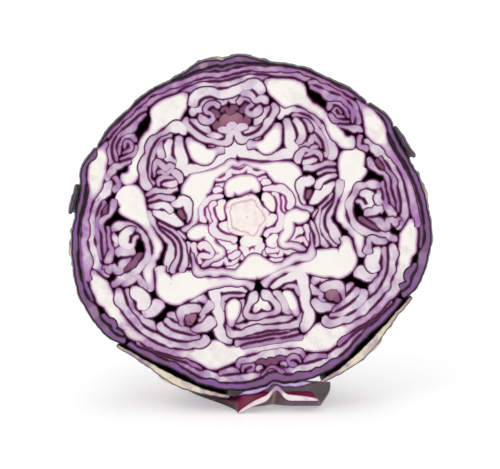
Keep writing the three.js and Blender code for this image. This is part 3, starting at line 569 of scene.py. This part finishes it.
def faceMiddle():
    # The middle of the core where it was cut: the mean of the core's foremost points.
    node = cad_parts["head_core"].data
    co = np.empty(len(node.vertices) * 3)
    node.vertices.foreach_get("co", co)
    co = co.reshape(-1, 3)
    deep = co @ np.array([0, math.cos(head["leanBack"]), -math.sin(head["leanBack"])])
    front = co[deep < deep.min() + 0.1 * mm]
    return (front.min(axis=0) + front.max(axis=0)) / 2


middle = faceMiddle()


def domeScale(depth):
    # How much the pattern has shrunk at a depth: a squared-off dome, with a belly just behind the cut.
    d = np.clip(depth, 0, head["domeDepth"] * 0.999)
    dome = np.sqrt(1 - (d / head["domeDepth"]) ** head["domeSquareness"])
    return dome * (1 + head["belly"] * np.sin(np.pi * np.clip(d / head["bellyOver"], 0, 1)))


def placed(x, z, depth):
    # From the pattern on the cut face (mm) to the part's own frame (m): shrink, roll, then lean back.
    s = domeScale(depth)
    u = (x * math.cos(head["roll"]) - z * math.sin(head["roll"])) * s
    v = (x * math.sin(head["roll"]) + z * math.cos(head["roll"])) * s
    lean = head["leanBack"]
    y = v * math.sin(lean) + depth * math.cos(lean)
    up = v * math.cos(lean) - depth * math.sin(lean)
    return middle + np.stack([u, y, up], axis=-1) * mm


def added(name, data):
    holder = bpy.data.objects.new(name, data)
    bpy.context.scene.collection.objects.link(holder)
    return holder


def gridPiece(name, co, attributes, material, slotName, ringed=False):
    # A closed surface from a grid: rows along the piece, columns round it. The columns join up with each
    # other. The end rows are closed by strips across, or the rows join up too (ringed).
    rows, cols = co.shape[:2]
    index = np.arange(rows * cols).reshape(rows, cols)
    nextRow = np.roll(index, -1, axis=0) if ringed else index[1:]
    thisRow = index if ringed else index[:-1]
    around = np.roll(np.arange(cols), -1)
    quads = [np.stack([thisRow, nextRow, nextRow[:, around], thisRow[:, around]], axis=-1).reshape(-1, 4)]
    if not ringed:
        k = np.arange(cols // 2 - 1)
        for row, turn in ((index[0], 1), (index[-1], -1)):
            strip = np.stack([row[k], row[k + 1], row[cols - 2 - k], row[cols - 1 - k]], axis=-1)
            quads.append(strip[:, ::turn])
    faces = np.vstack(quads)
    points = co.reshape(-1, 3)
    a, b, c, d = (points[faces[:, k]] for k in range(4))
    volume = np.einsum("ij,ij->i", a, np.cross(b, c)).sum() + np.einsum("ij,ij->i", a, np.cross(c, d)).sum()
    if volume < 0:
        faces = faces[:, ::-1]
    mesh = bpy.data.meshes.new(name)
    mesh.from_pydata(points.tolist(), [], faces.tolist())
    for key, values in attributes.items():
        layer = mesh.attributes.new(key, "FLOAT", "POINT")
        layer.data.foreach_set("value", np.broadcast_to(values, (rows, cols)).astype(np.float32).ravel())
    mesh.polygons.foreach_set("use_smooth", np.ones(len(faces), bool))
    mesh.materials.append(material)
    piece = added(name, mesh)
    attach(piece, "root")
    return piece


# Veins on the outside of a leaf, in mm: the midrib, the side veins and the fine ones between them.
veins = {"rib": 2.2, "ribWidens": 22, "apart": 15.0, "width": 0.85, "fineApart": 6.5, "fineWidth": 0.5}


def toNearest(place, spacing):
    # How far a place is from the nearest line of a row of parallel lines.
    return np.abs((place / spacing + 0.5) % 1 - 0.5) * spacing


def veinPattern(along, depth, total):
    # Height of the veins from 0 to 1: a broad midrib, side veins that leave it at a slant towards the cut,
    # and a wobble so that no line is straight.
    side = along - total / 2 + 1.5 * np.sin(depth / 11)
    rib = bell(side, veins["rib"] + depth / veins["ribWidens"])
    slant = depth + 0.85 * np.abs(side) + 1.2 * np.sin(side / 6.0)
    branch = bell(toNearest(slant, veins["apart"]), veins["width"])
    branch = branch * np.clip(1 - np.abs(side) / (total * 0.52), 0, 1)
    fine = bell(toNearest(depth * 0.9 - np.abs(side), veins["fineApart"]), veins["fineWidth"])
    return np.clip(rib + 0.7 * branch + 0.22 * fine, 0, 1)


def section(back, across):
    # The way round a leaf: from the back up one side, over the cut and back down the other side, as the
    # place across from -1 to 1, the depth and a 1 for what lies on the cut.
    ones, zeros = np.ones(len(back)), np.zeros(len(back))
    return (np.concatenate([-ones, across, ones]),
            np.concatenate([back, np.zeros(len(across)), back[::-1]]),
            np.concatenate([zeros, np.ones(len(across)), zeros]))


def leafPiece(leaf):
    # A leaf's section carried along its line.
    line, ringName, hasSkin = leaf["line"], leaf["ring"], leaf["kind"] in ("skin", "flap")
    normal, outward = sideways(line), outwardSide(line)
    depthEnd = reach[ringName] - rng.uniform(0, packing["ragged"])
    wrapper = ringName == "wrapper"
    sideRows = np.linspace(0.04, 1, 15 if wrapper else 9) ** 1.15 * depthEnd
    sideDepth = np.concatenate([[packing["rim"]], sideRows])
    across = np.sin(np.linspace(-np.pi / 2, np.pi / 2, packing["faceColumns"]))
    t, depth, onFace = section(sideDepth[::-1], across)
    length = lengthAlong(line)
    ends = np.clip(np.minimum(length, length[-1] - length) / packing["endRound"], 0, 1)
    rounding = np.sqrt(1 - (1 - ends) ** 2 * 0.8)
    left, right = leaf["left"] * rounding, leaf["right"] * rounding
    half = (left + right) / 2
    lift = -packing["cutRelief"] * np.minimum(half, 2)[:, None] / 2 * (1 - t[None] ** 2) * onFace
    stand = rng.uniform(-packing["uneven"], packing["uneven"])
    d = depth[None] + lift + stand * np.exp(-depth[None] / packing["unevenOver"])
    taper = 1 - 0.35 * (depth / depthEnd) ** 2 * (not wrapper)
    offset = ((left - right)[:, None] / 2 + half[:, None] * t[None]) * taper[None]
    vein = veinPattern(length[:, None], d, length[-1]) * (1 - onFace)
    outerSide = ((t * outward > 0) * (1 - onFace))[None] * hasSkin
    if hasSkin:
        relief = (packing["veinHeight"] * vein - packing["veinSink"]) * np.clip(d / 3, 0, 1)
        offset = offset + outward * outerSide * relief
    x = line[:, None, 0] + normal[:, None, 0] * offset
    z = line[:, None, 1] + normal[:, None, 1] * offset
    radius = np.hypot(line[:, 0], line[:, 1])
    attributes = {
        "skinDist": half[:, None] * (1 - np.abs(t[None])) * onFace,
        "thick": leaf["start"][:, None] * 0.7 + half[:, None] * 0.3,
        "onFace": onFace[None],
        "ring": np.clip((radius - 8) / 60, 0, 1)[:, None],
        # deep: the depth behind the cut, which sets how much painted shade the sides get
        "deep": np.clip(d, 0, None),
        "vein": vein,
        "outside": outerSide,
    }
    piece = gridPiece(leaf["name"] + "_leaf", placed(x, z, d), attributes, *leafLook[leaf["kind"]])
    if leaf["name"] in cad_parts:
        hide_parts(leaf["name"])


def linear(hexColour):
    # sRGB hex to linear light.
    parts = [int(hexColour[i:i + 2], 16) / 255 for i in (1, 3, 5)]
    return tuple(c / 12.92 if c <= 0.04045 else ((c + 0.055) / 1.055) ** 2.4 for c in parts) + (1.0,)


def addNode(tree, kind, inputs, **settings):
    # One node with its settings. inputs maps a socket's name or number to a value or another node's output.
    node = tree.nodes.new(kind)
    for key, value in settings.items():
        setattr(node, key, value)
    for key, value in inputs.items():
        if isinstance(value, bpy.types.NodeSocket):
            tree.links.new(value, node.inputs[key])
        else:
            node.inputs[key].default_value = value
    return node


def blend(tree, factor, a, b):
    # A mix of two colours, each one a hex colour or another node's output.
    a, b = (linear(colour) if isinstance(colour, str) else colour for colour in (a, b))
    return addNode(tree, "ShaderNodeMix", {0: factor, 6: a, 7: b}, data_type="RGBA").outputs[2]


def ramped(tree, value, low, high, atLow=0.0, atHigh=1.0):
    sockets = {"Value": value, "From Min": low, "From Max": high, "To Min": atLow, "To Max": atHigh}
    return addNode(tree, "ShaderNodeMapRange", sockets, interpolation_type="SMOOTHSTEP").outputs[0]


def maths(tree, operation, *values):
    return addNode(tree, "ShaderNodeMath", dict(enumerate(values)), operation=operation).outputs[0]


def clouds(tree, size, detail, **more):
    # Soft noise whose spots are about size mm wide.
    spot = addNode(tree, "ShaderNodeTexCoord", {}).outputs["Object"]
    inputs = {"Vector": spot, "Scale": 1000 / size, "Detail": detail, **more}
    return addNode(tree, "ShaderNodeTexNoise", inputs).outputs[0]


def scales(tree, size, feature="F1"):
    # Cells about size mm wide, as the distance from their middle or from their edge.
    spot = addNode(tree, "ShaderNodeTexCoord", {}).outputs["Object"]
    inputs = {"Vector": spot, "Scale": 1000 / size}
    return addNode(tree, "ShaderNodeTexVoronoi", inputs, feature=feature).outputs["Distance"]


def startMaterial(name, attributeNames):
    # An empty material, its node tree and the mesh attributes that it reads.
    material = bpy.data.materials.new(name)
    material.use_nodes = True
    tree = material.node_tree
    tree.nodes.clear()
    return material, tree, {key: addNode(tree, "ShaderNodeAttribute", {}, attribute_name=key).outputs["Fac"]
                            for key in attributeNames}


def endMaterial(tree, inputs):
    shader = addNode(tree, "ShaderNodeBsdfPrincipled", inputs)
    addNode(tree, "ShaderNodeOutputMaterial", {"Surface": shader.outputs[0]})


def wetSurface(tree, colour, roughness, height, strength):
    # The surface of a cut cabbage: finely uneven, moist and slightly translucent.
    bump = addNode(tree, "ShaderNodeBump", {"Strength": strength, "Distance": 0.4 * mm, "Height": height})
    endMaterial(tree, {"Base Color": colour, "Roughness": roughness, "Normal": bump.outputs[0], "IOR": 1.38,
                       "Subsurface Weight": 0.08, "Subsurface Scale": 2 * mm})


# The colours of a cut cabbage. Flesh is pale and wet, the skin's pigment shows as a thin dark line where
# it was cut, and bleeds a little into the flesh. The uncut sides are dark pigment near the cut; the last
# colour of each row is painted shade that makes them darker further back into the gaps.
# Widths are in mm. fatFrom gives the half thicknesses between which thin flesh turns into thick flesh.
lookParts = ("slot", "lineWidth", "bleedWidth", "fatFrom",
             "young", "old", "flesh", "thickFlesh", "bleed", "line", "side", "paintedGapShade")
cutLooks = {
    "heart": ("heart_leaf", 0.42, 0.95, (0.7, 2.1),
             "#efe2ea", "#b28ac4", "#eedbe4", "#fcf5ee", "#c98ab8", "#86306c", "#a04a80", "#6a1f4e"),
    "rib": ("white_rib", 0.5, 1.9, (0.7, 2.3),
             "#f1e7ea", "#b080b6", "#d4bbd5", "#fcf7f0", "#b779b6", "#541746", "#7d1f5c", "#2a0f22"),
    "blade": ("leaf_blade", 0.52, 1.2, (0.6, 1.9),
             "#ecdfe8", "#a676a8", "#d6bdd4", "#f2e9ec", "#a464a0", "#521442", "#7d1f5c", "#2a0f22"),
    "young": ("heart_leaf", 0.4, 0.9, (0.8, 2.4),
             "#8c536e", "#6f3d62", "#8c536e", "#a06c80", "#6d2b50", "#3f0d32", "#5f1a4c", "#1c0a17"),
    "crinkle": ("leaf_blade", 0.24, 0.6, (0.5, 0.9),
             "#a583c4", "#a583c4", "#a583c4", "#c9b3dc", "#8458a4", "#471549", "#6d2f78", "#2c0a22"),
    "husk": ("outer_skin", 0.3, 0.7, (0.8, 1.4),
             "#574a58", "#574a58", "#574a58", "#6a5a66", "#3f3440", "#231a22", "#3a2f38", "#2c242b"),
    "flap": ("outer_skin", 0.2, 0.6, (0.6, 1.4),
             "#c9b795", "#c9b795", "#c9b795", "#e9dfc4", "#9c8683", "#33212e", "#3c1936", "#140a12"),
    "skin": ("outer_skin", 0.55, 1.2, (1.45, 1.9),
             "#94688f", "#805681", "#94688f", "#ece0c8", "#683c66", "#1f0c1d", "#3c1936", "#140a12"),
    "under": ("under_leaf", 0.16, 0.6, (0.5, 1.4),
             "#dcb6d6", "#d2a3cd", "#efdbe0", "#f8ece6", "#e3b9cf", "#a0527a", "#7a2143", "#34101f"),
}
fineness = {"cells": 0.9, "blotch": 5.0, "streak": 3.5, "bloom": 14.0, "veinNet": 5.0}  # mm


def cutLeafMaterial(kind):
    # Cut cabbage leaf: wet, slightly translucent flesh with a thin pigmented skin on both sides.
    look = dict(zip(lookParts, cutLooks[kind]))
    material, tree, attr = startMaterial(
        "redCabbageLeaf_" + kind, ("skinDist", "thick", "onFace", "ring", "deep", "vein", "outside"))
    blotch, cells = clouds(tree, fineness["blotch"], 3.0), clouds(tree, fineness["cells"], 2.0)
    # flesh goes from lilac in thin blades to cream in thick ribs, more violet in the outer rings
    thin = blend(tree, attr["ring"], look["flesh"], look["old"])
    thin = blend(tree, ramped(tree, attr["ring"], 0.1, 0.55), look["young"], thin)
    flesh = blend(tree, ramped(tree, attr["thick"], *look["fatFrom"]), thin, look["thickFlesh"])
    violetSpots = ramped(tree, blotch, 0.4, 0.66, 0.0, 0.75)
    outerOnly = ramped(tree, attr["ring"], 0.5, 1.0)
    thinOnly = ramped(tree, attr["thick"], 1.0, 2.4, 1.0, 0.25)
    spotted = maths(tree, "MULTIPLY", maths(tree, "MULTIPLY", violetSpots, outerOnly), thinOnly)
    flesh = blend(tree, spotted, flesh, "#8f5aa8")
    # the pigment runs along the skin with a slightly wavy edge, and bleeds into the flesh
    fromSkin = maths(tree, "ADD", attr["skinDist"], maths(tree, "MULTIPLY_ADD", cells, 0.3, -0.15))
    bleed = ramped(tree, fromSkin, look["lineWidth"] * 0.9, look["bleedWidth"], 0.85, 0.0)
    line = ramped(tree, fromSkin, look["lineWidth"] * 0.8, look["lineWidth"] * 1.35, 1.0, 0.0)
    lineColour = blend(tree, ramped(tree, attr["ring"], 0.0, 0.4), "#9a4a8c", look["line"])
    face = blend(tree, line, blend(tree, bleed, flesh, look["bleed"]), lineColour)
    # the sides: their own pigment near the cut, then painted shade that darkens them further back into the
    # gap
    near = blend(tree, ramped(tree, blotch, 0.35, 0.65), look["side"], "#8a1f56")
    side = blend(tree, ramped(tree, attr["deep"], 0.0, 10.0), near, look["paintedGapShade"])
    # the outside of the head: purple-grey under a pale waxy bloom, with cream veins
    bloom = clouds(tree, fineness["bloom"], 6.0, Roughness=0.65)
    skin = blend(tree, ramped(tree, bloom, 0.34, 0.68), "#2f1b2d", "#665468")
    net = scales(tree, fineness["veinNet"], "DISTANCE_TO_EDGE")
    skin = blend(tree, ramped(tree, net, 0.0, 0.09, 0.35, 0.0), skin, "#8f6f92")
    skin = blend(tree, ramped(tree, attr["vein"], 0.25, 0.95, 0.0, 0.85), skin, "#c9b59a")
    side = blend(tree, attr["outside"], side, skin)
    colour = blend(tree, ramped(tree, attr["onFace"], 0.45, 0.55), side, face)
    dull = ramped(tree, cells, 0.3, 0.7, 0.36, 0.5)
    height = maths(tree, "ADD", clouds(tree, fineness["streak"], 4.0), cells)
    wetSurface(tree, colour, dull, height, 0.22)
    return material


def coreMaterial():
    # Cut stalk: pale, juicy pith with a faint pink ring and small bundles of vessels.
    material, tree, attr = startMaterial("cutStalkPith", ("toRim", "onFace"))
    cloud = clouds(tree, 3.0, 4.0)
    place = maths(tree, "ADD", attr["toRim"], maths(tree, "MULTIPLY_ADD", cloud, 0.32, -0.16))
    fromRing = maths(tree, "ABSOLUTE", maths(tree, "SUBTRACT", place, core["ringAt"]))
    face = blend(tree, ramped(tree, cloud, 0.35, 0.7), "#fdf4ec", "#f7e2e4")
    face = blend(tree, ramped(tree, fromRing, 0.01, 0.07, 0.55, 0.0), face, "#c080ac")
    face = blend(tree, ramped(tree, scales(tree, 3.4), 0.1, 0.2, 0.4, 0.0), face, "#c58fae")
    face = blend(tree, ramped(tree, place, 0.9, 1.0, 0.0, 0.75), face, "#b56aa0")
    back = blend(tree, ramped(tree, cloud, 0.3, 0.7), "#cdbfa0", "#a98f78")
    wetSurface(tree, blend(tree, attr["onFace"], back, face), 0.42, cloud, 0.3)
    return material


def straightBack(depth):
    # The way from the cut straight back, in metres, for each depth in mm.
    lean = head["leanBack"]
    return np.stack([0 * depth, depth * math.cos(lean), -depth * math.sin(lean)], axis=-1)[None] * mm


def around(radius, angle):
    # x and z of points at a radius and an angle from the middle of the core.
    return radius * np.cos(angle)[:, None], radius * np.sin(angle)[:, None]


def corePiece():
    # A disc on the cut that turns over its rim and runs back as a widening stalk to the cut stub.
    rows, backRadius, stubDepth = core["faceRows"], core["stalkRadii"][-1], core["stubDepth"]
    toRim = np.linspace(0.02, 1, rows)
    back = np.array([1.5, 8, 16, 26, 34, 42, 50, 58, 66, 71, stubDepth - 0.6])
    width = np.interp(back, core["stalkDepths"], core["stalkRadii"])
    stubEnd = backRadius * np.array([0.96, 0.6, 0.3, 0.01])
    radius = np.concatenate([toRim * core["faceRadius"], width, stubEnd])
    depth = np.concatenate([np.zeros(rows), back, np.full(len(stubEnd), stubDepth)])
    lumpy = np.exp(-depth / core["wobbleFades"])
    r = radius[None] * (1 + (coreShape[:, None] - 1) * lumpy[None])
    x, z = around(r, coreAngle)
    d = np.broadcast_to(depth[None], r.shape).copy()
    d[:, :rows] -= core["bulge"] * (1 - toRim[None] ** 4)
    s = domeScale(d)
    co = placed(x / s, z / s, d)
    stub = depth > core["comesOut"]
    co[:, stub] = placed(x, z, d * 0)[:, stub] + straightBack(depth[stub])
    attributes = {"toRim": np.concatenate([toRim, np.ones(len(depth) - rows)])[None],
                  "onFace": (np.arange(len(depth)) < rows).astype(float)[None]}
    piece = gridPiece("head_core_stalk", co, attributes, coreMaterial(), "core", ringed=True)
    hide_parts("head_core")


print("leaves")
leafLook = {kind: (cutLeafMaterial(kind), cutLooks[kind][0]) for kind in cutLooks}
leaves = wholeLeaves()
runEndsOn(leaves)
pressTogether(leaves)
fillGaps(leaves)
for leaf in leaves:
    leafPiece(leaf)
print("core")
corePiece()

# The leaves' bases, grown together round the stalk: they close the back of the head from inside.
bases = {"inner": 12.5, "outer": 57.0, "atStalk": 65.6, "back": 65.2, "front": 47.0, "wall": 2.2}


def basesPiece():
    # A bowl round the stalk: a profile from the stalk out along the inside of the wrappers and back again.
    angle = np.linspace(0, 2 * np.pi, 72, endpoint=False)
    deepOut = np.linspace(bases["back"], bases["front"], 12)
    outer = np.concatenate([[bases["inner"]], bases["outer"] * domeScale(deepOut)])
    depthOut = np.concatenate([[bases["atStalk"]], deepOut])
    inner = outer[::-1] - bases["wall"] * np.linspace(1, 0.1, len(outer))
    r = np.concatenate([outer, inner])[None]
    d = np.concatenate([depthOut, depthOut[::-1] - bases["wall"]])
    lumpy = 1 + 0.02 * np.cos(6 * angle)[:, None] + 0.012 * np.cos(11 * angle + 1)[:, None]
    x, z = around(r * lumpy, angle)
    deep = np.broadcast_to(d[None], x.shape)
    s = domeScale(deep)
    # deep 12 paints the whole bowl in the painted shade colour of the gaps
    attributes = {"skinDist": 0.0, "thick": 1.0, "onFace": 0.0, "ring": 0.6, "deep": 12.0, "vein": 0.0,
                  "outside": 0.0}
    gridPiece("leaf_bases", placed(x / s, z / s, deep), attributes, *leafLook["blade"], ringed=True)


basesPiece()

# The loose leaf that the head lies on: an arch at the cut, opening out flat on the ground behind.
under = {
    "left": (-3.7, -27.0),  # x in mm at the cut and behind
    "right": (29.9, 36.0),
    "widening": 1.8,
    "back": 46.0,
    "corners": 0.76,  # how far back the corners reach, as a part of that
    "rightWing": 5.4,
    "notchAt": 0.48,  # places across the leaf run from 0 to 1
    "notchTall": 4.4,
    "notchWide": 0.085,
    "opensOver": 16.0,
    "thick": (0.9, 3.0),
    "lip": 0.5,
    "ripple": 0.35,
    "hugs": 11.2,  # height up to which it follows the head
    "hugsOver": 3.0,
    "letsGo": 26.0,
    "ribAt": 0.45,
    "ribWide": 0.03,
    "veinsApart": 13,
    "veinSlant": 66,  # how much further back they would be at the other side
    "veinWide": 0.9,
}


def underPiece():
    # Height = (a left wing that rises to the right one + a notch between them) * fade squared, where the
    # fade falls from 1 at the cut to 0 where the leaf has opened out. The lower side is the height, and the
    # upper one a thickness above. Just behind the cut the upper side rises to the head's underside, and
    # sinks again further back.
    u = np.linspace(0, 1, 70)[:, None]
    side, v, onFace = (row[None] for row in section(np.linspace(1, 0, 26) ** 1.4, np.linspace(-1, 1, 7)))
    notch = bell(u - under["notchAt"], under["notchWide"])
    wings = under["rightWing"] * np.sin(np.pi / 2 * np.clip(u / under["notchAt"], 0, 1))
    arch = wings + under["notchTall"] * notch
    frontY = (arch - middle[2] / mm) * math.tan(head["leanBack"])
    rounded = under["corners"] + (1 - under["corners"]) * np.sin(np.pi * u)
    behind = v * (under["back"] * rounded - frontY)
    fade = np.clip(1 - behind / under["opensOver"], 0, 1) ** 2
    widen = np.sin(v * np.pi / 2) ** under["widening"]
    left, right = (start + (end - start) * widen for start, end in (under["left"], under["right"]))
    thin, fat = under["thick"]
    wall = thin + (fat - thin) * np.sin(np.pi * u) ** 0.6 * (1 - 0.45 * notch) * np.exp(-v * 3)
    ripple = under["ripple"] * (np.sin(u * 17 + v * 3) + 1) * np.clip(v * 4, 0, 1) * (side > 0)
    rises = np.clip(behind / under["hugsOver"], 0, 1)
    rises = rises ** 2 * (3 - 2 * rises) * np.clip(1 - behind / under["letsGo"], 0, 1) ** 1.5
    nearSides = np.clip(8 * np.minimum(u, 1 - u) + 0.3, 0, 1)
    hug = np.clip(under["hugs"] - arch - wall, 0, None) * rises * nearSides
    x = left + (right - left) * u
    y = frontY + behind - under["lip"] * np.sqrt(1 - np.clip(side, -1, 1) ** 2) * onFace
    z = arch * fade + (wall + hug) * (side + 1) / 2 + ripple
    origin = np.array([middle[0] / mm, middle[1] / mm, 0])
    co = (origin + np.stack(np.broadcast_arrays(x, y, z), axis=-1)) * mm
    fromRib = np.abs(u - under["ribAt"])
    rib = bell(fromRib, under["ribWide"])
    branch = bell(toNearest(behind + under["veinSlant"] * fromRib, under["veinsApart"]), under["veinWide"])
    below = (side < 0) * (1 - onFace)
    attributes = {
        "skinDist": wall / 2 * (1 - np.abs(side)) * onFace,
        "thick": wall * 0.8 * (1 - notch),
        "onFace": onFace,
        "ring": 0.8,
        # deep paints shade: the upper side gets darker further back under the head, and the underside
        # (below) is painted in shade too; outside gives the underside a little of its real skin colour
        "deep": np.clip(behind * 0.3, 0, 6) + 7 * below,
        "vein": np.clip(rib + 0.6 * branch, 0, 1),
        "outside": 0.4 * below,
    }
    piece = gridPiece("under_leaf_sheet", co, attributes, *leafLook["under"])
    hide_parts("under_leaf")


print("under leaf")
underPiece()

print("stage")
# A pale floor and soft light; the camera stands in front and looks down a little. Lengths are in metres.
stage = {
    "floor": 3.0,
    "floorGlow": 0.39,
    "sky": 0.62,
    "lamps": {"key": ((-0.35, -0.7, 0.75), 0.5, 1.8),  # place, size and watts
              "fill": ((0.6, -0.7, 0.4), 0.7, 0.6),
              "rim": ((0.1, 0.6, 0.8), 0.5, 1.0)},
    "lampsAimAt": (0, 0, 0.07),
    "elevation": math.radians(12),
    "distance": 1.7,
    "width": 0.210,  # of the view at that distance
    "right": 0.00122,
    "down": 0.00735,
    "sensor": 36,  # mm
}


def aimed(name, content, place, wayBack):
    # A lamp or camera at a place, with its back turned towards wayBack.
    holder = added(name, content)
    holder.location = place
    holder.rotation_euler = (-wayBack).to_track_quat("-Z", "Y").to_euler()
    return holder


def makeFloor():
    material, tree, _ = startMaterial("paleFloor", ())
    endMaterial(tree, {"Base Color": linear("#f7f7f7"), "Roughness": 0.7, "Emission Color": (1, 1, 1, 1),
                       "Emission Strength": stage["floorGlow"]})
    half = stage["floor"] / 2
    mesh = bpy.data.meshes.new("floor")
    corners = [(-half, -half, 0), (half, -half, 0), (half, half, 0), (-half, half, 0)]
    mesh.from_pydata(corners, [], [(0, 1, 2, 3)])
    mesh.materials.append(material)
    added("floor", mesh)


def makeLight():
    # The camera sees a plain white backdrop. The light that it gives is softer.
    world = bpy.data.worlds.new("studio")
    bpy.context.scene.world = world
    world.use_nodes = True
    direct = addNode(world.node_tree, "ShaderNodeLightPath", {}).outputs["Is Camera Ray"]
    strength = ramped(world.node_tree, direct, 0.0, 1.0, stage["sky"], 1.0)
    backdrop = world.node_tree.nodes["Background"]
    backdrop.inputs[0].default_value = (1, 1, 1, 1)
    world.node_tree.links.new(strength, backdrop.inputs[1])
    for name, (place, size, watts) in stage["lamps"].items():
        light = bpy.data.lights.new(name, "AREA")
        light.size, light.energy = size, watts
        aimed(name, light, place, Vector(place) - Vector(stage["lampsAimAt"]))


def makeCamera():
    lens = bpy.data.cameras.new("camera")
    lens.sensor_width = stage["sensor"]
    lens.lens = stage["sensor"] * stage["distance"] / stage["width"]
    lens.clip_start, lens.clip_end = 0.01, 20
    up = Vector((0, math.sin(stage["elevation"]), math.cos(stage["elevation"])))
    back = Vector((0, -math.cos(stage["elevation"]), math.sin(stage["elevation"])))
    target = Vector(middle) + Vector((stage["right"], 0, 0)) - up * stage["down"]
    bpy.context.scene.camera = aimed("camera", lens, target + back * stage["distance"], back)


makeFloor()
makeLight()
makeCamera()
bpy.context.scene.view_settings.view_transform = "Standard"
bpy.context.view_layer.update()
